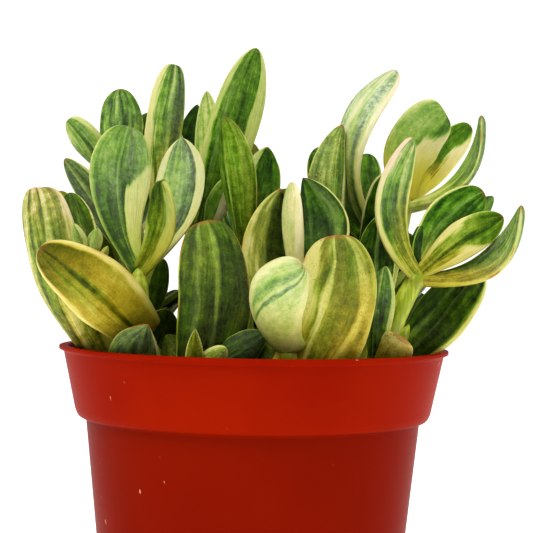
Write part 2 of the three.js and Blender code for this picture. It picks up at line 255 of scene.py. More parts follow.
def grown(made, tree, values):
    """The object with the tree's result as its plain mesh."""
    made.data.materials.append(values["Material"])
    modifier = made.modifiers.new(tree.name, "NODES")
    modifier.node_group = tree
    for item in tree.interface.items_tree:
        if item.item_type == "SOCKET" and item.in_out == "INPUT" and item.name in values:
            modifier[item.identifier] = values[item.name]
    made.update_tag()
    scene_state = bpy.context.evaluated_depsgraph_get()
    shown = made.evaluated_get(scene_state)
    result = bpy.data.meshes.new_from_object(shown, preserve_all_data_layers=True, depsgraph=scene_state)
    result.name = made.data.name + "_done"
    made.modifiers.clear()
    made.data = result
    return made


def smooth_except_corners(mesh, degrees):
    mesh.shade_smooth()
    mesh.set_sharp_from_angle(angle=math.radians(degrees))


pot_material, nodes = new_material("pot_red_plastic")
place = nodes.object_place()
cloudy = nodes.noise(place, 28.0, 3.0)
fine = nodes.noise(place, 900.0, 2.0)
scratches = nodes.noise(nodes.stretched(place, (60.0, 60.0, 1500.0)), 1.0, 3.0, 0.6)
flecks = nodes.noise(nodes.stretched(place, (1.0, 1.0, 0.55)), 420.0, 1.0).over(0.735, 0.765)
patches = nodes.noise(place, 45.0, 1.0).over(0.5, 0.62)
scuffs = flecks * patches
red = nodes.mix(cloudy.over(0.3, 0.7), colour(142, 24, 0), colour(152, 31, 0))
up = nodes.add("ShaderNodeSeparateXYZ", {0: place}, output=2)
# Painted shade under the band: the body below it is painted a darker red, though it is the same plastic
shade_below_band = 1 - up.over((BAND_FOOT - 0.6) * MM, (BAND_FOOT + 0.2) * MM)
red = nodes.mix(shade_below_band * 0.6, red, colour(114, 21, 0))
red = nodes.mix(scuffs * 0.6, red, colour(236, 178, 150))
nodes.finish_surface(
    {
        "Base Color": red,
        "Roughness": 0.36 + 0.1 * scratches + 0.25 * scuffs,
        "Specular IOR Level": 0.02,
    },
    height=0.7 * fine + 0.5 * scratches,
    depth=0.03,
)

sizes = {
    "Drain holes": DRAIN_COUNT,
    "Hole radius": DRAIN_RADIUS * MM,
    "Circle radius": DRAIN_CIRCLE * MM,
    "Drill length": 4 * FLOOR * MM,
}
tree, nodes, given = new_tree("drain_holes", sizes)
circle = nodes.add(
    "GeometryNodeMeshCircle", {"Vertices": given["Drain holes"], "Radius": given["Circle radius"]}
)
drill = nodes.add(
    "GeometryNodeMeshCylinder",
    {"Vertices": DRAIN_SIDES, "Radius": given["Hole radius"], "Depth": given["Drill length"]},
)
drills = nodes.add("GeometryNodeInstanceOnPoints", {"Points": circle, "Instance": drill})
drills = nodes.add("GeometryNodeRealizeInstances", {"Geometry": drills})
shell = nodes.add(
    "GeometryNodeMeshBoolean",
    {"Mesh 1": given["Mesh"], "Mesh 2": drills},
    operation="DIFFERENCE",
    solver="EXACT",
)
end_tree(nodes, shell, given["Material"])

pot = new_object("pot_shell", turned_mesh("pot_shell", rounded_outline(POT_CORNERS), POT_SIDES))
grown(pot, tree, {**sizes, "Material": pot_material})
smooth_except_corners(pot.data, 40)
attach(pot, "root")
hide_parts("pot")

# Soil: dark potting mix that fills the pot to a little below the lip, with crumbs, bark chips and a
# few white perlite grains loose on its top. The stems are rooted in it.
SOIL_TOP = 78.0
SOIL_EDGE = 47.9
FLOOR_GAP = 0.3
WALL_GAP = 0.4
SOIL_SIDES = 120
SOIL_RINGS = 30
LUMP_HEIGHTS = (1.1, 0.5)
LUMP_SCALES = (110, 330)
EDGE_WITHOUT_LUMPS = 3
CRUMB_SIZE = 1.5
CRUMB_DENSITY = 190000.0
CRUMB_SEED = 11
TURN_SEED = 3
STRETCH_SEED = 5
KIND_SEED = 9

soil_material, nodes = new_material("soil_potting_mix")
place = nodes.object_place()
kind = nodes.add("ShaderNodeAttribute", output="Fac", attribute_name="crumb_kind")
grain = nodes.noise(place, 700.0, 4.0, 0.65)
damp = nodes.noise(place, 60.0, 2.0)
earth = nodes.ramp(grain, (0.3, 0.5, 0.72), [(24, 16, 10), (52, 37, 25), (92, 69, 48)])
earth = nodes.mix(damp.over(0.4, 0.6) * 0.4, earth, colour(30, 21, 14))
bark = nodes.mix(grain.over(0.35, 0.65), colour(70, 40, 22), colour(128, 84, 50))
earth = nodes.mix(kind.over(0.62, 0.64), earth, bark)
earth = nodes.mix(kind.over(0.95, 0.955), earth, colour(222, 216, 202))
nodes.finish_surface(
    {"Base Color": earth, "Roughness": 0.75 + 0.2 * grain, "Specular IOR Level": 0.25},
    height=grain,
    depth=0.6,
)

sizes = {
    "Crumb size": CRUMB_SIZE * MM,
    "Density": CRUMB_DENSITY,
    "Seed": CRUMB_SEED,
    "Top": (SOIL_TOP - 2) * MM,
}
tree, nodes, given = new_tree("soil_crumbs", sizes)
face_place = nodes.add("GeometryNodeInputPosition")
up = nodes.add("ShaderNodeSeparateXYZ", {0: face_place}, output=2)
on_top = nodes.add("FunctionNodeCompare", {"A": up, "B": given["Top"]}, operation="GREATER_THAN")
scattered = nodes.add(
    "GeometryNodeDistributePointsOnFaces",
    {"Mesh": given["Mesh"], "Selection": on_top, "Density": given["Density"], "Seed": given["Seed"]},
)
ball = nodes.add("GeometryNodeMeshIcoSphere", {"Radius": given["Crumb size"], "Subdivisions": 1})
ball_place = nodes.add("GeometryNodeInputPosition")
cloud = {"Vector": ball_place, "Scale": 900.0, "Detail": 1.0}
dents = nodes.add("ShaderNodeTexNoise", cloud, output=1)
dents = nodes.add("ShaderNodeVectorMath", {0: dents, 1: (0.5, 0.5, 0.5)}, operation="SUBTRACT")
deep = {0: dents, "Scale": 1.4 * CRUMB_SIZE * MM}
dents = nodes.add("ShaderNodeVectorMath", deep, operation="SCALE")
crumb = nodes.add("GeometryNodeSetPosition", {"Geometry": ball, "Offset": dents})
turns = nodes.add(
    "FunctionNodeRandomValue",
    {"Max": (math.tau, math.tau, math.tau), "Seed": TURN_SEED},
    data_type="FLOAT_VECTOR",
)
stretch = nodes.add(
    "FunctionNodeRandomValue",
    {"Min": (0.3, 0.3, 0.2), "Max": (1.25, 0.9, 0.6), "Seed": STRETCH_SEED},
    data_type="FLOAT_VECTOR",
)
crumbs = nodes.add(
    "GeometryNodeInstanceOnPoints",
    {"Points": scattered, "Instance": crumb, "Rotation": turns, "Scale": stretch},
)
kinds = nodes.add("FunctionNodeRandomValue", {"Seed": KIND_SEED}, output=1, data_type="FLOAT")
marked = nodes.add(
    "GeometryNodeStoreNamedAttribute",
    {"Geometry": crumbs, "Name": "crumb_kind", "Value": kinds},
    data_type="FLOAT",
    domain="INSTANCE",
)
joined = nodes.tree.nodes.new("GeometryNodeJoinGeometry")
nodes.tree.links.new(given["Mesh"].socket, joined.inputs[0])
nodes.tree.links.new(marked.socket, joined.inputs[0])
end_tree(nodes, Signal(nodes, joined.outputs[0]), given["Material"])

inset = WALL + WALL_GAP
outline = [Vector((radius, FLOOR + FLOOR_GAP)) for radius in (0.0, 12.0, 24.0, BASE_RADIUS - inset)]
outline.append(Vector((BODY_TOP_RADIUS - inset, BAND_FOOT - SHOULDER_DROP)))
outline.append(Vector((BAND_FOOT_RADIUS - inset, BAND_FOOT + SHOULDER_RISE)))
for ring in range(SOIL_RINGS):
    outline.append(Vector((SOIL_EDGE * (1 - ring / SOIL_RINGS), SOIL_TOP)))
outline.append(Vector((0.0, SOIL_TOP)))
soil_mesh = turned_mesh("soil_bed", outline, SOIL_SIDES)
for vertex in soil_mesh.vertices:
    if vertex.co.z > (SOIL_TOP - 1) * MM:
        inside = min(1.0, (SOIL_EDGE - vertex.co.xy.length / MM) / EDGE_WITHOUT_LUMPS)
        lumps = [
            height * noise.noise(vertex.co * scale)
            for height, scale in zip(LUMP_HEIGHTS, LUMP_SCALES)
        ]
        vertex.co.z += sum(lumps) * inside * MM
soil = new_object("soil_bed", soil_mesh)
grown(soil, tree, {**sizes, "Material": soil_material})
smooth_except_corners(soil.data, 35)
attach(soil, "root")
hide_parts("soil")

# Leafy stems: green fleshy stems rooted in the soil, each with thick glossy spoon-shaped leaves that
# join it at scarred nodes. The leaves are striped green and cream along their length.
ROOT_DEPTH = 8.0
STEM_BEND = (0.25, 0.5)
BRANCH_BEND = (0.75, 0.4)
STEM_SIDES = 20
STEM_STEPS = 44
JOINT_SWELLING = 0.2
JOINT_LENGTH = 1.6
SCAR_DROP = 1.5
SCAR_LENGTH = 0.6
TOP_TAPER = 0.35
TAPER_START = 0.85
END_RISE = 0.7
END_WIDTH = 0.6
RIBS = 4
RIB_HEIGHT = 0.04
LEAF_SIDES = 32
LEAF_STATIONS = 36
LAST_STATION = 0.9995
TIP_CROWDING = 1.5
LEAF_THICKNESS = 3.6
TIP_THINNING = 0.5
THIN_BELOW = 0.3
WIDEST_AT = 0.62
FOOT_WIDTH = 0.3
TIP_ROUNDNESS = 2.2
MARGIN_SHARPNESS = 1.25
UPPER_SHARE = 0.4
LOWER_SHARE = 0.6
LEAF_TWIST = math.radians(7)
MARGIN_WAVE = 0.022
MARGIN_WAVES = 1.9
RIPPLE = 0.3
RIPPLES = 1.4
NIB_FOOT = 0.4
NIB_STATIONS = (0.4, 0.8, 1.0)
NIB_HALF_WIDTHS = (0.32, 0.16, 0.02)

# What a leaf looks like where its own paint says nothing: width of the left and right pale margin as
# a share of half the leaf, how far up each margin runs, tone of the ground (0 dark green, 1 cream),
# contrast of its streaks, warmth, brown specks, tone of the margins, changes of tone at tip and base,
# painted pale sheen, pink blush at the tip, brown rim, softness of the margins' inner edges, slant of
# the markings across the leaf, yellowness at the base, and up to two stripes, each with its place
# from the left margin (-1) to the right (1), half width and change of tone
PLAIN_PAINT = {
    "left": 0.0,
    "right": 0.0,
    "left_end": 1.3,
    "right_end": 1.3,
    "ground": 0.2,
    "contrast": 0.45,
    "warmth": 0.1,
    "specks": 0.05,
    "cream": 0.82,
    "tip": 0.0,
    "base": 0.0,
    "painted_sheen": 0.0,
    "blush": 0.1,
    "rim": 0.25,
    "soft": 0.0,
    "slant": 0.0,
    "yellow": 0.15,
    "stripes": (),
}
NO_STRIPE = (0, 0.1, 0)
# Each stem has its name, foot, crown, radii below and above, and leaves. Each leaf has its shape and
# its paint. The shape: place along the stem, azimuth, rise above level, length, width, roll, curl,
# fold, how pointed, how oval, sweep, and length of the nib at the tip. Sweep bends the leaf sideways;
# a pointed value below 0 is blunt, and an oval value below 0 gives a long narrow foot. The paint
# names what differs from PLAIN_PAINT.
STEMS = [
    ("left", (-29, -27), (-30, -20, 110), (3.0, 2.2), [
        # This leaf's paler tip (tip=0.2) is a painted highlight at the top of the leaf
        ((1, 109, 69, 42, 16.5, -6, 0.1, 0.1, -0.25, -0.5, -0.08, 1.3), dict(
            left=0.05, right=0.76, right_end=0.86, ground=0.23, contrast=0.5, cream=0.76, tip=0.2,
            painted_sheen=0.7, soft=0.08, yellow=0.2, stripes=((-0.08, 0.04, 0.16), (0.3, 0.06, -0.16)),
        )),
        ((1, 60, 63, 41, 14.5, 13, 0.12, 0.15, 0.35, -0.3, 0.06, 1.2), dict(
            left=0.24, right=0.34, ground=0.4, contrast=0.8, cream=0.8, base=-0.12, painted_sheen=1.2,
            stripes=((0.38, 0.2, -0.22), (-0.3, 0.1, 0.1)),
        )),
        ((1, -58, 63, 26, 10, 110, 0.12, 0.25, -0.2, 0.5, 0.05, 0), dict(
            left=0.3, right=0.6, left_end=0.55, ground=0.4, warmth=0.4, cream=0.66, tip=-0.12,
            soft=0.1, yellow=0.3, stripes=((-0.25, 0.14, -0.12), (0.35, 0.2, 0.14)),
        )),
        ((0.5, -128, 32, 41, 17, 48, 0.06, 0.08, -0.1, 1.3, -0.05, 0), dict(
            left=0.12, right=0.16, ground=0.57, contrast=0.25, warmth=1.3, cream=0.86, tip=-0.3,
            base=-0.04, rim=0.5, soft=0.04, stripes=((0.0, 0.09, -0.34), (-0.3, 0.04, -0.14)),
        )),
        ((0.1, -76, 50, 21, 13.5, -19, 0.05, 0.1, 1, 1.3, 0.1, 0), dict(
            right=0.1, ground=0.24, contrast=0.8, warmth=0.4, specks=0.5, tip=-0.1, painted_sheen=0.6,
            rim=1, stripes=((0.1, 0.1, 0.1), (-0.4, 0.1, -0.1)),
        )),
    ]),
    ("far_left", (-38.5, -12), (-42, -28, 112), (2.8, 2.0), [
        ((0.2, -145, 65, 51, 17.5, 28, 0.14, 0.5, -0.6, 0.4, 0, 0), dict(
            left=0.04, right=0.1, ground=0.5, contrast=1.1, warmth=0.8, specks=0.3, base=-0.08,
            painted_sheen=0.5, blush=1, rim=0.5, soft=0.05, stripes=((0.35, 0.1, 0.2), (-0.3, 0.12, -0.2)),
        )),
        ((0.75, 149, 65, 30, 6.5, 98, 0.05, 0.3, -0.3, 0.6, 0, 0), dict(
            ground=0.36, warmth=0.9, specks=0.5, rim=0.9,
        )),
        ((0.9, 151, 70, 23, 9, -43, 0.05, 0.15, 0.1, 0.3, 0, 0), dict(
            right=0.1, ground=0.22, warmth=0.2, specks=0.9, yellow=0,
            stripes=((0.05, 0.5, 0.08), (0, 0.1, 0.1)),
        )),
        ((1, -117, 55, 12, 4, 2, 0.05, 0.1, 0.6, 0, 0, 0), dict(
            right=0.25, ground=0.58, warmth=0.15, cream=0.76, painted_sheen=0.3,
        )),
        ((1, -59, 63, 10, 4, -24, 0.05, 0.1, 0.6, 0, 0, 0), dict(
            right=0.25, ground=0.6, warmth=0.15, cream=0.76, painted_sheen=0.3,
        )),
        ((0.9, -56, 44, 11, 2.5, -34, 0, 0.1, 0.6, 0, 0, 0), dict(
            ground=0.6, warmth=0.6, cream=0.7,
        )),
    ]),
    ("back_left", (-27, 6), (-38, 8, 136), (3.0, 2.2), [
        ((0.97, -151, 46, 24, 9.5, 38, 0.05, 0.1, -0.2, 0.2, -0.03, 0), dict(
            left=0.05, right=0.22, ground=0.46, contrast=0.8, cream=0.74, tip=0.08, painted_sheen=0.5,
            soft=0.05, stripes=((0.1, 0.1, -0.26), (-0.4, 0.15, -0.12)),
        )),
        ((1, 101, 66, 29, 12.5, -12, 0.05, 0.1, 0, 0.3, 0, 0), dict(
            ground=0.3, contrast=0.9, painted_sheen=0.3, rim=0.8,
            stripes=((-0.2, 0.12, 0.2), (0.1, 0.1, -0.14)),
        )),
        ((0.98, 72, 52, 27, 8.5, 3, 0.05, 0.1, 0.3, 0.2, 0, 0), dict(right=0.06, ground=0.22)),
        ((0.55, -162, 54, 38, 9, 60, 0.03, 0.1, 0.2, 0.6, -0.03, 0), dict(
            left=0.05, right=0.12, contrast=0.8, warmth=0.3, painted_sheen=0.5, rim=1, soft=0.05,
            stripes=((0, 0.12, 0.2),),
        )),
        ((0.15, -58, 62, 15, 9.5, 155, 0.05, 0.1, 0.2, 0.5, 0, 0), dict(ground=0.24, warmth=0.5)),
        ((0.3, -49, 72, 19, 5.5, 148, 0.03, 0.1, 0.2, 0.6, 0, 0), dict(
            right=0.12, right_end=0.7, ground=0.26, warmth=0.3, cream=0.6,
        )),
    ]),
    ("tall", (-13, 2), (-14, 2, 123), (3.2, 2.4), [
        ((0.97, 95, 76, 41, 8.5, -35, 0.04, 0.2, 0.4, 0.2, 0, 0), dict(
            left=0.12, right=0.12, ground=0.64, contrast=0.6, cream=0.78, base=0.1, painted_sheen=0.2,
            soft=0.1, stripes=((0.2, 0.15, -0.12),),
        )),
        ((1, 0, 75, 51, 14, 98, 0.06, 0.12, 0.15, 0.5, 0, 0), dict(
            left=0.22, right=0.34, ground=0.28, contrast=0.6, cream=0.7, base=-0.1, painted_sheen=0.1,
            blush=0.3, soft=0.04, stripes=((0.1, 0.2, -0.1), (-0.5, 0.12, 0.12)),
        )),
        ((0.95, -52, 56, 18, 6.5, 146, 0.03, 0.1, 0.1, 0.4, 0, 0), dict(
            right=1.15, ground=0.5, contrast=0.3, warmth=0, cream=0.95, blush=0, soft=0.1, yellow=0,
        )),
        ((0.5, 129, 74, 27, 7, -30, 0.03, 0.1, 0.1, 0.6, 0, 0), dict(
            ground=0.36, warmth=0.35, cream=0.7,
        )),
    ]),
    ("front_middle", (-15, -33), (-11, -33, 90), (3.0, 2.6), [
        ((0.35, 71, 86, 41, 18.5, -151, 0.07, 0.06, -0.4, 1.1, -0.08, 0), dict(
            ground=0.15, contrast=0.5, warmth=0.45, specks=0.35, tip=0.1, base=-0.04, painted_sheen=0.12,
            blush=0.3, rim=0.9, slant=0.25, stripes=((-0.5, 0.1, 0.14), (0.1, 0.08, 0.12)),
        )),
        ((0.1, -86, 60, 20, 5, -4, 0.05, 0.1, 0.8, 1, 0, 0), dict(
            left=0.12, right=0.12, ground=0.44, warmth=0.6, specks=0.6,
        )),
        ((0.5, -57, 32, 15, 6.5, -60, 0.05, 0.1, 0.1, 0.6, 0, 0), dict(
            left=0.25, right=0.25, ground=0.62, warmth=0.3, cream=0.78,
        )),
        ((0.5, -10, 34, 20, 8.5, -89, 0.05, 0.1, 0.2, 0.2, 0, 0), dict(
            ground=0.14, warmth=0.3, painted_sheen=0.2, stripes=((0.1, 0.1, 0.1),),
        )),
        ((0.3, 140, 50, 16, 8, 118, 0.05, 0.1, 0.2, 0.6, 0, 0), dict(warmth=0.8)),
    ]),
    ("centre", (-3, -8), (-3, -10, 115), (3.0, 2.3), [
        ((1, -133, 77, 37, 10, 23, 0.04, 0.45, 0.2, 0.4, -0.035, 0), dict(
            ground=0.32, contrast=0.6, warmth=0.25, specks=0.5, rim=0.6,
            stripes=((-0.3, 0.06, 0.12), (0.6, 0.1, 0.05)),
        )),
        ((0.95, 88, 53, 43, 9.5, 3, 0.04, 0.1, 0.1, 0.2, 0, 0), dict(
            ground=0.34, warmth=0.7, specks=0.5, rim=0.9, stripes=((0.1, 0.1, 0.1),),
        )),
        ((1, 60, 69, 32, 11.5, 44, 0.05, 0.3, 0.5, 0.2, 0, 0), dict(
            left=0.5, ground=0.24, cream=0.7, blush=0.5, rim=0.8, soft=0.1,
            stripes=((0.2, 0.2, -0.06),),
        )),
        ((0.97, 66, 55, 34, 7.5, 9, 0.05, 0.2, 0.4, 0, 0, 0), dict(
            right=0.08, ground=0.28, warmth=0.7, specks=0.3, rim=0.5,
        )),
    ]),
    ("middle_right", (12, -21), (12, -24, 107), (3.0, 2.3), [
        ((1, -124, 80, 27, 9.5, -26, 0.02, 0.1, 0.1, 0.4, 0.05, 0), dict(
            right=0.3, ground=0.8, contrast=0.4, cream=0.93, base=0.1, painted_sheen=0.4,
            stripes=((-0.5, 0.12, -0.12),),
        )),
        ((1, 89, 68, 31, 13.5, -14, 0.12, 0.12, 0.7, 0.7, 0.17, 0), dict(
            right=0.07, ground=0.18, contrast=0.6, cream=0.84, painted_sheen=0.1, blush=0.2, rim=0.3,
            stripes=((-0.45, 0.08, 0.06), (0.5, 0.2, 0.14)),
        )),
        ((0.55, 124, 76, 40, 16, -15, 0.1, 0.12, 0.8, 0.8, -0.11, 0), dict(
            left=0.1, ground=0.1, contrast=0.3, warmth=0.6, specks=0.2, cream=0.84, rim=1, soft=0.2,
            stripes=((-0.7, 0.45, 0.8), (0.5, 0.3, -0.08)),
        )),
    ]),
    ("front_right", (11, -37), (9, -39, 92), (3.0, 2.8), [
        ((0.38, -16, 75, 38, 21.5, -79, 0.05, 0.06, -0.3, 1.2, -0.1, 0), dict(
            left=0.46, right=0.03, ground=0.42, contrast=0.5, warmth=0.75, specks=0.5, cream=0.78,
            tip=-0.06, painted_sheen=0.2, rim=1, soft=0.1, yellow=0.3,
            stripes=((-0.14, 0.06, 0.36), (0.66, 0.13, 0.3)),
        )),
        ((1, -82, 50, 27, 15, -35, 0.12, 0.15, -0.2, 1.1, 0.16, 0), dict(
            left=0.2, right=0.16, ground=0.68, contrast=0.25, cream=0.8, base=0.04, painted_sheen=1,
            rim=0.4, soft=0.06, slant=1.9, yellow=0.2,
            stripes=((-0.12, 0.07, -0.46), (-0.5, 0.2, -0.26)),
        )),
        ((0.25, 150, 48, 15, 7.5, 115, 0.05, 0.1, 0.2, 0.6, 0, 0), dict(ground=0.16, warmth=0.6)),
    ]),
    ("back_right", (22, 0), (31, 0, 124), (3.0, 2.3), [
        ((1, -26, 80, 42.5, 13.5, -116, 0.24, 0.12, 0.1, -0.6, 0.05, 0), dict(
            right=0.2, ground=0.5, contrast=0.6, cream=0.95, base=-0.1, painted_sheen=2, blush=0.8,
            soft=0.08, yellow=0.3, stripes=((0.6, 0.12, -0.3), (-0.05, 0.3, 0.4)),
        )),
        ((0.55, -111, 79, 48, 13, 52, 0.04, 0.4, 0.4, 0.3, 0.12, 0), dict(
            ground=0.44, contrast=0.8, warmth=0.35, specks=1, base=-0.14, painted_sheen=0.5, rim=0.9,
            stripes=((0.45, 0.07, 0.5), (0.85, 0.25, -0.35)),
        )),
        ((0.95, 158, 58, 28, 14.5, -42, 0.05, 0.1, 0.2, 0.5, -0.04, 0), dict(
            ground=0.24, specks=0.2,
        )),
        ((0.98, 88, 53, 27, 8.5, 5, 0.05, 0.1, -0.3, 0.2, 0, 0), dict(
            right=0.16, ground=0.28, cream=0.6,
        )),
        ((0.85, -77, 43, 29, 7, 145, 0.05, 0.1, 0.3, 0.3, 0, 0), dict(
            left=0.2, right=0.5, cream=0.84,
        )),
    ]),
    ("right_high", (31, -4), (41, -2, 130), (3.0, 2.3), [
        ((1, 0, 68, 27, 16.5, 115, 0.12, 0.08, -0.55, 0.3, -0.15, 0), dict(
            left=0.5, right=0.95, left_end=0.35, right_end=1.02, ground=0.5, contrast=0.5, warmth=0,
            cream=0.9, base=0.12, painted_sheen=0.3, soft=0.16, yellow=1.3,
            stripes=((0.6, 0.3, -0.3), (-0.6, 0.3, 0.06)),
        )),
        ((1, 29, 47, 31, 10.5, 88, 0.08, 0.1, -0.1, 0.3, 0, 0), dict(
            left=0.7, right=0.85, left_end=0.55, right_end=1.1, ground=0.32, cream=0.88, base=0.42,
            rim=0.4, soft=0.14, yellow=1.3,
        )),
        ((0.98, -23, 50, 32, 11.5, 33, 0.23, 0.1, 0.6, 0, 0, 0), dict(
            ground=0.44, contrast=0.6, base=0.34, painted_sheen=0.7, blush=0.2, rim=0.6,
            stripes=((0.2, 0.14, 0.14), (0.6, 0.3, -0.16)),
        )),
        ((0.35, -96, 74, 31, 11, -163, 0.05, 0.1, 0.4, 0, 0, 0), dict(
            right=0.08, contrast=0.8, stripes=((0, 0.1, 0.2),),
        )),
    ]),
    ("right_front", (30, -24), (42, -22, 110), (2.9, 2.4), [
        ((1, -104, 70, 37, 11.5, -127, 0.12, 0.35, 0.1, 0.2, -0.15, 0), dict(
            left=0.28, right=0.1, ground=0.3, contrast=0.7, specks=0.1, cream=0.84, tip=0.2,
            base=0.26, painted_sheen=0.6, blush=1.3, rim=0.3, soft=0.06, yellow=0.5,
            stripes=((-0.25, 0.2, -0.12), (0.5, 0.14, 0.14)),
        )),
        ((0.98, -30, 34, 34, 11.5, 50, 0.29, 0.15, 0.8, 0, 0, 0), dict(
            left=0.1, right=0.1, ground=0.33, contrast=0.6, warmth=0.25, specks=0.3, cream=0.74,
            tip=0.08, base=0.2, painted_sheen=0.8, blush=0.6, rim=0.8, soft=0.1, yellow=0.7,
            stripes=((-0.35, 0.25, -0.2), (0.3, 0.2, 0.14)),
        )),
        ((1, 36, 44, 33, 13.5, 78, 0.1, 0.1, -0.1, 0.3, -0.06, 0), dict(
            left=0.06, ground=0.3, contrast=0.6, warmth=0, base=0.16, rim=0.9, yellow=0.4,
            stripes=((-0.2, 0.08, 0.12), (0.3, 0.06, -0.12)),
        )),
        ((1, -5, 36, 27, 10, 88, 0.06, 0.15, 0.1, 0.2, -0.04, 0), dict(
            left=0.42, right=0.5, left_end=0.8, right_end=0.8, ground=0.48, contrast=0.5,
            warmth=0.3, cream=0.86, tip=-0.16, rim=0.5, soft=0.12, yellow=0.5,
            stripes=((0.12, 0.16, -0.32),),
        )),
        ((0.98, 39, 38, 37, 7, 63, 0.05, 0.1, 0.2, 0, 0, 0), dict(
            left=0.05, ground=0.36, specks=0.2, painted_sheen=0.3,
        )),
        ((1, 76, 65, 15, 5, 65, 0.05, 0.2, 0.7, 0, 0, 0), dict(right=0.2, ground=0.14, cream=0.8)),
        ((0.2, -50, 47, 14, 10.5, -54, 0, 0.05, -0.6, 1, 0, 0), dict(
            ground=0.56, contrast=0.3, warmth=1.2, specks=0.6, tip=0.2, base=-0.3, rim=1,
        )),
        ((0.2, -74, 77, 29, 8, -46, 0.05, 0.1, 0.4, 0, 0, 0), dict(
            right=0.16, ground=0.26, contrast=0.8, cream=0.7, tip=0.1, painted_sheen=0.4,
            stripes=((0, 0.1, 0.2),),
        )),
    ]),
    ("right_low", (37, -8), (42, -8, 96), (2.8, 2.3), [
        ((0.5, 5, 50, 34, 15.5, -124, 0.08, 0.1, 0.2, 0.9, -0.05, 0), dict(
            right=0.12, ground=0.12, warmth=0.3, soft=0.04,
            stripes=((0.2, 0.06, 0.1), (-0.2, 0.1, 0.1)),
        )),
    ]),
]
# The branch of one stem: place where it leaves, its crown, radii and leaves
BRANCHED_STEM = "back_left"
BRANCH = (0.4, (-27, 4, 127), (2.4, 2.0), [
    ((1, 62, 81, 42, 10.5, 33, 0.05, 0.1, -0.35, 0.5, -0.03, 0), dict(
        left=0.42, right=0.04, right_end=0.6, ground=0.37, contrast=0.8, warmth=0.15, cream=0.84,
        painted_sheen=0.5, soft=0.05, yellow=0.45, stripes=((0.22, 0.12, 0.22), (0.65, 0.2, -0.16)),
    )),
    ((0.9, 59, 62, 39, 7.5, 19, 0.05, 0.1, 0.4, 0, 0, 0), dict(contrast=0.4)),
])
# Stems at the back: name, foot, crown, azimuth of the lowest pair of leaves and seed. Their leaves
# grow in crossed pairs, shorter, steeper and paler toward the crown; the dark tone of the lower leaves
# is painted shade deep inside the plant.
REAR_STEMS = [
    ("rear_left", (-37, 17), (-42, 27, 118), 66, 30351),
    ("rear_middle", (2, 31), (0, 38, 115), 135, 30351),
    ("rear_right", (27.5, 23), (36, 32, 118), 50, 15321),
]
REAR_RADII = (3.0, 2.2)
PAIRS = 6
LOWEST_PAIR = 0.2
# Rise and length of the rear leaves at the foot and at the crown
REAR_RISES = (22, 62)
REAR_LENGTHS = (31, 23)
FIRST_SEED = 4001
SEED_STEP = 977
GLOW_DEPTH = 2.0

leaf_material, nodes = new_material("leaf_striped_waxy")


def leaf_vector(name):
    """The three numbers that each leaf's points carry under this name."""
    carried = nodes.add("ShaderNodeAttribute", output="Vector", attribute_name=name)
    parts = nodes.tree.nodes.new("ShaderNodeSeparateXYZ")
    nodes.tree.links.new(carried.socket, parts.inputs[0])
    return [Signal(nodes, part) for part in parts.outputs]


def leaf_noise(across, along, seed, detail=2.0):
    place = nodes.add("ShaderNodeCombineXYZ", {0: across, 1: along, 2: seed})
    return nodes.noise(place, 1.0, detail)


across, along = leaf_vector("blade")[:2]
left, left_end, tip_change = leaf_vector("paint_left")
right, right_end, base_change = leaf_vector("paint_right")
ground, contrast, cream = leaf_vector("paint_tone")
warmth, specks, seed = leaf_vector("paint_wear")
painted_sheen, browning, blush = leaf_vector("paint_skin")
slant, softness, yellow = leaf_vector("paint_flow")
place = nodes.object_place()

wander = leaf_noise(across * 1.5, along * 2.2, seed) - 0.5
ragged = leaf_noise(across * 9.0, along * 7.0, seed + 5.0, 3.0) - 0.5
shifted = across + 0.3 * wander + 0.05 * ragged - slant * (along - 0.6)
broad = leaf_noise(shifted * 2.4, along * 2.0, seed + 3.0, 1.0).over(0.38, 0.62)
middling = leaf_noise(shifted * 6.0, along * 3.0, seed + 7.0)
hair = leaf_noise(shifted * 22.0, along * 6.0, seed + 11.0, 3.0)
mottle = nodes.noise(place, 420.0, 4.0, 0.65)
stipple = nodes.noise(place, 2100.0, 2.0)
tone = ground + contrast * (0.24 * (broad - 0.5) + 0.6 * (middling - 0.5) + 0.36 * (hair - 0.5))
tone = tone + (0.26 + 0.5 * contrast) * (mottle - 0.5) + 0.24 * (stipple - 0.5)
tone = tone + tip_change * along.over(0.5, 0.95) + base_change * (1 - along.over(0.1, 0.6))

milk = 0.0
for name in ("paint_stripe_a", "paint_stripe_b"):
    middle, reach, change = leaf_vector(name)
    away = (shifted + 0.22 * (middling - 0.5) - middle).size() / reach
    broken = leaf_noise(shifted * 4.0, along * 4.0, seed + 23.0).over(0.3, 0.6)
    change = change * (1 - away.over(0.2, 1.6)) * (0.4 + 0.6 * broken)
    tone = tone + change
    milk = milk + change.at_least(0.0)

edge = 1 - across.size()
on_right = across.over(-0.2, 0.2)
margin_width = left + on_right * (right - left)
margin_end = left_end + on_right * (right_end - left_end)
margin_fade = 0.12 + (1.2 * (margin_end - 0.7)).at_least(0.0).at_most(0.33)
margin_width = margin_width * (1 - (along + 0.2 * wander).over(margin_end - margin_fade, margin_end))
margin_width = margin_width * (1 + 1.6 * wander + 0.9 * (middling - 0.5) + 0.5 * ragged)
inner_edge = 0.05 + softness + 0.1 * (hair - 0.4).at_least(0.0)
inner = (edge - margin_width).over(-0.02 - softness, inner_edge)
cream_tone = cream + 0.22 * (hair - 0.5) + 0.16 * (mottle - 0.5) - 0.16 * (1 - along.over(0, 0.4))
tone = cream_tone + inner * (tone - cream_tone)

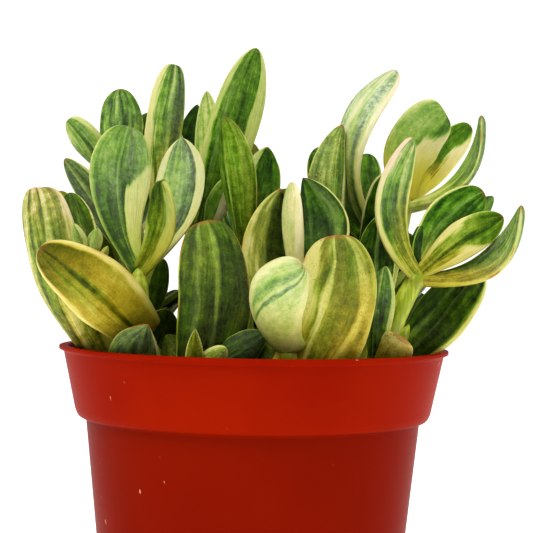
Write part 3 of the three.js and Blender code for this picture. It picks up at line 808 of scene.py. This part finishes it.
# Colours of a leaf from the darkest tone to the palest, where it is cool and where it is warm
TONES = (0.0, 0.2, 0.38, 0.55, 0.72, 0.88, 1.0)
GREENS = [
    (10, 30, 0),
    (46, 86, 2),
    (86, 136, 18),
    (138, 176, 64),
    (192, 204, 122),
    (228, 218, 158),
    (238, 232, 196),
]
OLIVES = [
    (34, 38, 0),
    (80, 86, 0),
    (132, 122, 12),
    (172, 155, 42),
    (202, 189, 86),
    (222, 210, 130),
    (236, 226, 170),
]
cool = nodes.ramp(tone, TONES, GREENS)
warm = nodes.ramp(tone, TONES, OLIVES)
patchy = leaf_noise(across * 2.0, along * 2.0, seed + 17.0)
ripened = 1 - (along - 0.3 * across + 0.3 * wander).over(0.2, 0.65)
warming = warmth * (0.5 + 0.5 * patchy.over(0.3, 0.6)) + yellow * ripened
skin = nodes.mix(warming.at_most(1.0), cool, warm)
milk = (1.4 * milk).at_most(0.3) * inner * (1 - warming.at_most(1.0))
skin = nodes.mix(milk, skin, colour(184, 196, 138))
golden = yellow * (1 - (along + 0.3 * wander).over(0.15, 0.75)) * tone.over(0.4, 0.7)
skin = nodes.mix((0.8 * golden).at_most(0.8), skin, colour(198, 188, 38))
# Painted sheen: a pale grey-green patchy wash over the upper part of each leaf, stronger toward the tip,
# standing in for the overhead light's sheen
sheen_patches = nodes.noise(place, 900.0, 3.0, 0.7).over(0.35, 0.7) * (0.4 + 0.6 * middling.over(0.35, 0.65))
sheen_share = painted_sheen * (0.15 + 0.85 * along.over(0.2, 0.75)) * (0.45 + 0.55 * patchy.over(0.3, 0.6))
sheen_share = sheen_share * (0.3 + 0.7 * sheen_patches)
skin = nodes.mix((0.5 * sheen_share).at_most(0.75), skin, colour(210, 220, 190))
pink = blush * along.over(0.6, 0.95) * patchy.over(0.35, 0.55) * tone.over(0.5, 0.8)
skin = nodes.mix(0.7 * pink, skin, colour(232, 206, 186))
# Painted highlight: a pale yellow-green line along the leaf's edge, where the thick rounded edge turns
# to the light
edge_highlight = (1 - edge.over(0.0, 0.04)) * patchy.over(0.4, 0.65)
skin = nodes.mix(0.3 * edge_highlight, skin, colour(200, 200, 112))
frayed = leaf_noise(across * 3.0, along * 5.0, seed + 29.0).over(0.48, 0.64)
rim = (1 - (edge + 0.1 * ragged).over(0.0, 0.06)) * frayed
skin = nodes.mix(rim * browning, skin, colour(172, 106, 42))
tip = (along + 0.02 * ragged).over(0.965, 0.995) * (1.25 * browning - 0.25).at_least(0.0)
skin = nodes.mix(0.7 * tip, skin, colour(168, 104, 52))
dots = nodes.noise(place, 2400.0, 1.0).over(0.58, 0.68) * nodes.noise(place, 180.0).over(0.42, 0.6)
skin = nodes.mix(dots * specks * 0.9, skin, colour(104, 62, 8))
nodes.finish_surface(
    {
        "Base Color": skin,
        "Roughness": 0.34 + 0.16 * middling + 0.2 * sheen_share,
        "Specular IOR Level": 0.14,
        "Subsurface Weight": 0.1,
        "Subsurface Radius": (0.6, 0.9, 0.1),
        "Subsurface Scale": GLOW_DEPTH * MM,
    },
    height=0.9 * hair + 0.5 * nodes.noise(place, 1900.0, 2.0) + 0.9 * middling + 0.6 * mottle,
    depth=0.28,
)

stem_material, nodes = new_material("stem_fleshy_green")
up_stem, joint = leaf_vector("blade")[1:]
place = nodes.object_place()
ribs = nodes.noise(nodes.stretched(place, (900.0, 900.0, 60.0)), 1.0, 2.0)
mottle = nodes.noise(place, 260.0, 3.0)
green = nodes.mix(ribs.over(0.35, 0.65), colour(146, 164, 26), colour(190, 200, 64))
green = nodes.mix(mottle.over(0.5, 0.7) * 0.5, green, colour(116, 136, 20))
cork = (1 - up_stem.over(0.02, 0.4)) * mottle.over(0.35, 0.6)
green = nodes.mix(cork * 0.75, green, colour(112, 86, 46))
green = nodes.mix(joint * 0.35, green, colour(120, 98, 30))
nodes.finish_surface(
    {
        "Base Color": green,
        "Roughness": 0.38 + 0.25 * cork,
        "Specular IOR Level": 0.4,
        "Subsurface Weight": 0.1,
        "Subsurface Scale": GLOW_DEPTH * MM,
    },
    height=ribs + mottle,
    depth=0.2,
)


def sequence(seed):
    """A small repeatable sequence of numbers from -1 to 1."""
    multiplier = 16807
    modulus = 2147483647
    state = seed
    while True:
        state = (state * multiplier) % modulus
        yield state / modulus * 2 - 1


def between(ends, share):
    return ends[0] + (ends[1] - ends[0]) * share


def repeat_last(rows, times):
    return np.concatenate([rows, np.repeat(rows[-1:], times, axis=0)])


def curve_points(start, middle, end, shares):
    """Points and directions on the curve from start to end that leans toward the middle point."""
    shares = shares[:, None]
    points = (1 - shares) ** 2 * start + 2 * shares * (1 - shares) * middle + shares**2 * end
    tangents = (1 - shares) * (middle - start) + shares * (end - middle)
    return points, tangents / np.linalg.norm(tangents, axis=1, keepdims=True)


def bent_path(start, crown, bend):
    aside, upward = bend
    middle = start + (crown - start) * np.array([aside, aside, upward])
    return start, middle, crown


def place_on(path, share):
    return curve_points(*path, np.array([share]))[0][0]


def leaf_width(shares, pointed, oval):
    """Width along a leaf, as a share of its greatest width."""
    widest = WIDEST_AT - 0.14 * oval
    foot = FOOT_WIDTH + 0.35 * max(0, oval)
    rising = np.clip(shares / widest, 0, 1)
    falling = np.clip((shares - widest) / (1 - widest), 0, 1)
    below = foot + (1 - foot) * (rising * rising * (3 - 2 * rising)) ** (0.8 - 0.5 * min(0, oval))
    above = np.maximum(0, 1 - falling**TIP_ROUNDNESS) ** (0.5 + 0.45 * pointed)
    return np.where(shares < widest, below, above)


def ripple_along(shares, shift):
    return RIPPLE * np.sin(math.tau * (RIPPLES * shares + shift)) * shares


def leaf_axes(azimuth, rise, roll):
    """Directions along a leaf, out of its upper face and across it."""
    azimuth, rise, roll = (math.radians(angle) for angle in (azimuth, rise, roll))
    outward = np.array([math.cos(azimuth), math.sin(azimuth), 0.0])
    upward = np.array([0.0, 0.0, 1.0])
    along = math.cos(rise) * outward + math.sin(rise) * upward
    level = -math.sin(rise) * outward + math.cos(rise) * upward
    face = math.cos(roll) * level + math.sin(roll) * np.cross(along, level)
    return along, face, np.cross(along, face)


def leaf_marks(paint, seed):
    """The numbers that a leaf's points carry for its material."""
    first, second = [*paint["stripes"], NO_STRIPE, NO_STRIPE][:2]
    return {
        "paint_left": (paint["left"], paint["left_end"], paint["tip"]),
        "paint_right": (paint["right"], paint["right_end"], paint["base"]),
        "paint_tone": (paint["ground"], paint["contrast"], paint["cream"]),
        "paint_wear": (paint["warmth"], paint["specks"], seed),
        "paint_skin": (paint["painted_sheen"], paint["rim"], paint["blush"]),
        "paint_flow": (paint["slant"], paint["soft"], paint["yellow"]),
        "paint_stripe_a": first,
        "paint_stripe_b": second,
    }


# What a stem's points carry in place of a leaf's marks
UNPAINTED = {
    **dict.fromkeys(["paint_left", "paint_right", "paint_tone"], (0, 0, 0)),
    **dict.fromkeys(["paint_wear", "paint_skin", "paint_flow"], (0, 0, 0)),
    **dict.fromkeys(["paint_stripe_a", "paint_stripe_b"], (0, 1, 0)),
}
LEAF_MATERIAL = 0
STEM_MATERIAL = 1


class LeafyStem:
    """The mesh of one leafy stem: rings of points skinned into closed forms."""

    def __init__(self):
        self.points = []
        self.faces = []
        self.materials = []
        self.marks = {}

    def skin(self, rings, blade, paint, material):
        """Closed form over rings of points that run the same way round, closed at both ends."""
        count, sides = rings.shape[:2]
        start = len(self.points)
        ends = [rings[0].mean(axis=0), rings[-1].mean(axis=0)]
        self.points += [*rings.reshape(-1, 3), *ends]
        marks = np.concatenate([blade.reshape(-1, 3), [blade[0].mean(axis=0), blade[-1].mean(axis=0)]])
        self.marks.setdefault("blade", []).append(marks)
        for name, values in paint.items():
            self.marks.setdefault(name, []).append(np.tile(values, (len(marks), 1)))
        before = len(self.faces)
        foot_point = start + count * sides
        tip_point = foot_point + 1
        for side in range(sides):
            after = (side + 1) % sides
            for ring in range(count - 1):
                here = start + ring * sides
                above = here + sides
                self.faces.append((here + side, here + after, above + after, above + side))
            top = start + (count - 1) * sides
            self.faces.append((foot_point, start + after, start + side))
            self.faces.append((tip_point, top + side, top + after))
        self.materials += [material] * (len(self.faces) - before)

    def add_stem(self, path, radii, root_depth, joints):
        shares = np.linspace(0, 1, STEM_STEPS)
        points, tangents = curve_points(*path, shares)
        widths = between(radii, shares)
        scars = np.zeros(STEM_STEPS)
        length = np.linalg.norm(path[2] - path[0])
        for joint in joints:
            distance = (shares - joint) * length
            widths = widths + JOINT_SWELLING * np.exp(-((distance / JOINT_LENGTH) ** 2))
            scars = np.maximum(scars, np.exp(-(((distance + SCAR_DROP) / SCAR_LENGTH) ** 2)))
        tapering = np.clip((shares - TAPER_START) / (1 - TAPER_START), 0, 1)
        widths = widths * (1 - TOP_TAPER * tapering**2)
        if root_depth:
            points = np.concatenate([[points[0] - [0, 0, root_depth]], points])
            tangents = np.concatenate([[[0, 0, 1]], tangents])
            widths = np.concatenate([[radii[0]], widths])
            shares = np.concatenate([[0], shares])
            scars = np.concatenate([[0], scars])
        points = np.concatenate([points, points[-1:] + END_RISE * tangents[-1:] * widths[-1]])
        tangents = repeat_last(tangents, 1)
        widths = np.concatenate([widths, END_WIDTH * widths[-1:]])
        shares = np.concatenate([shares, [1]])
        scars = np.concatenate([scars, [0]])
        across = np.array([1.0, 0, 0]) - tangents * tangents[:, :1]
        across /= np.linalg.norm(across, axis=1, keepdims=True)
        third = np.cross(tangents, across)
        angles = np.arange(STEM_SIDES) * math.tau / STEM_SIDES
        cosines = np.cos(angles)[None, :, None]
        sines = np.sin(angles)[None, :, None]
        ribbed = 1 + RIB_HEIGHT * np.cos(RIBS * angles)[None, :, None]
        reach = widths[:, None, None] * ribbed
        rings = points[:, None, :] + reach * (cosines * across[:, None, :] + sines * third[:, None, :])
        blade = np.stack(np.broadcast_arrays(cosines[..., 0], shares[:, None], scars[:, None]), axis=-1)
        self.skin(rings, blade, UNPAINTED, STEM_MATERIAL)

    def add_leaf(self, base, shape, own_paint, draw):
        azimuth, rise, length, width, roll, curl, fold, pointed, oval, sweep, nib = shape
        along, face, across = leaf_axes(azimuth, rise, roll)
        tip = base + along * length
        bow = base + along * length / 2 - 2 * curl * length * face + 2 * sweep * length * across
        twist, wave, shift, ripple = (next(draw) for _ in range(4))
        shares = 1 - (1 - np.linspace(0, LAST_STATION, LEAF_STATIONS)) ** TIP_CROWDING
        points, tangents = curve_points(base, bow, tip, shares)
        sideways = np.cross(tangents, face[None, :])
        sideways /= np.linalg.norm(sideways, axis=1, keepdims=True)
        normals = np.cross(sideways, tangents)
        part = leaf_width(shares, pointed, oval)
        half = width / 2 * part
        thick = LEAF_THICKNESS * (1 - TIP_THINNING * shares**3)
        thick = thick * np.sqrt(np.minimum(1, part / THIN_BELOW))
        if nib:
            beyond = np.array(NIB_STATIONS)[:, None] * nib
            count = len(NIB_STATIONS)
            points = np.concatenate([points, points[-1:] + beyond * tangents[-1:]])
            sideways = repeat_last(sideways, count)
            normals = repeat_last(normals, count)
            taper = np.array(NIB_HALF_WIDTHS)
            half = np.concatenate([np.maximum(half, NIB_FOOT), taper])
            thick = np.concatenate([np.maximum(thick, 2 * NIB_FOOT), 2 * taper])
            shares = np.concatenate([shares, np.ones(count)])
        turn = LEAF_TWIST * twist * (shares - 0.5)
        turned = sideways * np.cos(turn)[:, None] + normals * np.sin(turn)[:, None]
        normals = normals * np.cos(turn)[:, None] - sideways * np.sin(turn)[:, None]
        angles = -np.arange(LEAF_SIDES) * math.tau / LEAF_SIDES
        cosines = np.cos(angles)[None, :]
        sines = np.sin(angles)[None, :]
        swell = np.sign(sines) * np.abs(sines) ** MARGIN_SHARPNESS
        swell = swell * np.where(sines > 0, UPPER_SHARE, LOWER_SHARE)
        waves = np.sin(math.tau * (MARGIN_WAVES * shares[:, None] + wave * cosines + shift))
        outline = 1 + MARGIN_WAVE * waves
        raised = fold * half[:, None] * cosines**2
        raised = raised + ripple * ripple_along(shares, shift)[:, None] * cosines**2
        reach = half[:, None] * outline * cosines
        lift = thick[:, None] * swell + raised
        rings = points[:, None, :] + reach[..., None] * turned[:, None, :]
        rings = rings + lift[..., None] * normals[:, None, :]
        facing = 1 if across[0] > 0 else -1
        blade = np.stack(np.broadcast_arrays(facing * cosines, shares[:, None], sines), axis=-1)
        marks = leaf_marks({**PLAIN_PAINT, **own_paint}, 37 * (1 + wave) + 11 * shift)
        self.skin(rings, blade, marks, LEAF_MATERIAL)

    def finished(self, name):
        mesh = bpy.data.meshes.new(name)
        mesh.from_pydata((np.array(self.points) * MM).tolist(), [], self.faces)
        for mark, rows in self.marks.items():
            values = np.concatenate(rows)
            layer = mesh.attributes.new(mark, "FLOAT_VECTOR", "POINT")
            layer.data.foreach_set("vector", values.astype(np.float32).ravel())
        mesh.materials.append(leaf_material)
        mesh.materials.append(stem_material)
        mesh.polygons.foreach_set("material_index", self.materials)
        mesh.shade_smooth()
        mesh.validate()
        return new_object(name, mesh)


def fit_stem(name, growth):
    made = growth.finished("leafy_" + name)
    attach(made, "root")
    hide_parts("leafy_stem_" + name)


def stem_path(foot, crown):
    return bent_path(np.array([*foot, SOIL_TOP], float), np.array(crown, float), STEM_BEND)


def grow(growth, path, radii, root_depth, leaves, draw):
    """Add one stem along the path, and its leaves."""
    growth.add_stem(path, radii, root_depth, [shape[0] for shape, _ in leaves])
    for (at, *shape), paint in leaves:
        growth.add_leaf(place_on(path, at), shape, paint, draw)


for number, (name, foot, crown, radii, leaves) in enumerate(STEMS):
    draw = sequence(FIRST_SEED + SEED_STEP * number)
    growth = LeafyStem()
    path = stem_path(foot, crown)
    grow(growth, path, radii, ROOT_DEPTH, leaves, draw)
    if name == BRANCHED_STEM:
        at, crown, radii, leaves = BRANCH
        path = bent_path(place_on(path, at), np.array(crown, float), BRANCH_BEND)
        grow(growth, path, radii, 0, leaves, draw)
    fit_stem(name, growth)

for name, foot, crown, first, seed in REAR_STEMS:
    draw = sequence(seed)
    looks = sequence(seed + 1)
    growth = LeafyStem()
    path = stem_path(foot, crown)
    joints = [LOWEST_PAIR + (1 - LOWEST_PAIR) * (pair + 1) / PAIRS for pair in range(PAIRS)]
    growth.add_stem(path, REAR_RADII, ROOT_DEPTH, joints)
    for pair, joint in enumerate(joints):
        share = (pair + 1) / PAIRS
        for half in (0, 180):
            azimuth = first + 90 * pair + half + 12 * next(draw)
            rise = between(REAR_RISES, share) + 6 * next(draw)
            length = between(REAR_LENGTHS, share) + 3 * next(draw)
            width = length * (0.5 + 0.05 * next(draw))
            roll = 14 * next(draw)
            shape = (azimuth, rise, length, width, roll, 0.1, 0.14, 0.1, 0.1, 0, 0)
            paint = dict(
                left=0.14 + 0.12 * next(looks),
                right=0.14 + 0.12 * next(looks),
                # Lower leaves get a darker ground and cream: painted shade deep inside the plant
                ground=0.08 + 0.2 * share + 0.08 * next(looks),
                warmth=0.2 + 0.2 * next(looks),
                specks=0.15 + 0.15 * next(looks),
                cream=0.55 + 0.25 * share,
                stripes=(
                    (0.5 * next(looks), 0.14, 0.2 * next(looks)),
                    (0.5 * next(looks), 0.1, 0.2 * next(looks)),
                ),
            )
            growth.add_leaf(place_on(path, joint), shape, paint, looks)
    fit_stem(name, growth)

# Room: a plain pale floor and backdrop under soft white light, with the camera where the photograph
# was taken from
FLOOR_RADIUS = 3000.0
FLOOR_SIDES = 64
SKY_STRENGTH = 0.46
LIGHT_AIM = (0, 0, 110)
CAMERA_PLACE = (3.0, -380.0, 112.0)
CAMERA_ROLL = 1.04
SENSOR_WIDTH = 36.0
LENS = 93.4
NEAREST_SEEN = 10.0

floor_mesh = bpy.data.meshes.new("studio_floor")
floor_reach = FLOOR_RADIUS * MM
angles = [math.tau * side / FLOOR_SIDES for side in range(FLOOR_SIDES)]
corners = [(floor_reach * math.cos(angle), floor_reach * math.sin(angle), 0) for angle in angles]
floor_mesh.from_pydata(corners, [], [tuple(range(FLOOR_SIDES))])
floor = new_object("studio_floor", floor_mesh)
floor_material, nodes = new_material("studio_white")
nodes.finish_surface({
    "Base Color": (0.92, 0.92, 0.92, 1),
    "Roughness": 0.9,
    "Specular IOR Level": 0.1,
    "Emission Color": (1, 1, 1, 1),
    "Emission Strength": 0.5,
})
floor_mesh.materials.append(floor_material)

world = bpy.data.worlds.new("studio_light")
world.use_nodes = True
nodes = Nodes(world.node_tree)
light = nodes.add("ShaderNodeBackground", {"Color": (1, 0.985, 0.95, 1), "Strength": SKY_STRENGTH})
backdrop = nodes.add("ShaderNodeBackground", {"Color": (1, 1, 1, 1), "Strength": 1.0})
seen = nodes.add("ShaderNodeLightPath")
sky = nodes.add("ShaderNodeMixShader", {0: seen, 1: light, 2: backdrop})
nodes.add("ShaderNodeOutputWorld", {"Surface": sky})
bpy.context.scene.world = world


def soft_light(name, place, size, power):
    """A square lamp at the place, turned to the middle of the plant."""
    lamp = bpy.data.lights.new(name, "AREA")
    lamp.size = size * MM
    lamp.energy = power
    made = new_object(name, lamp)
    made.location = Vector(place) * MM
    made.rotation_euler = (Vector(LIGHT_AIM) - Vector(place)).to_track_quat("-Z", "Y").to_euler()


soft_light("key_light", (-350, -500, 950), size=600, power=7.0)
soft_light("side_light", (800, 100, 500), size=500, power=2.5)

camera = bpy.data.cameras.new("camera")
camera.sensor_width = SENSOR_WIDTH
camera.lens = LENS
camera.clip_start = NEAREST_SEEN * MM
viewer = new_object("camera", camera)
turned = Matrix.Rotation(math.pi / 2, 4, "X") @ Matrix.Rotation(math.radians(CAMERA_ROLL), 4, "Z")
viewer.matrix_world = Matrix.Translation(Vector(CAMERA_PLACE) * MM) @ turned
bpy.context.scene.camera = viewer
bpy.context.scene.view_settings.view_transform = "Standard"
bpy.context.scene.view_settings.look = "Medium High Contrast"
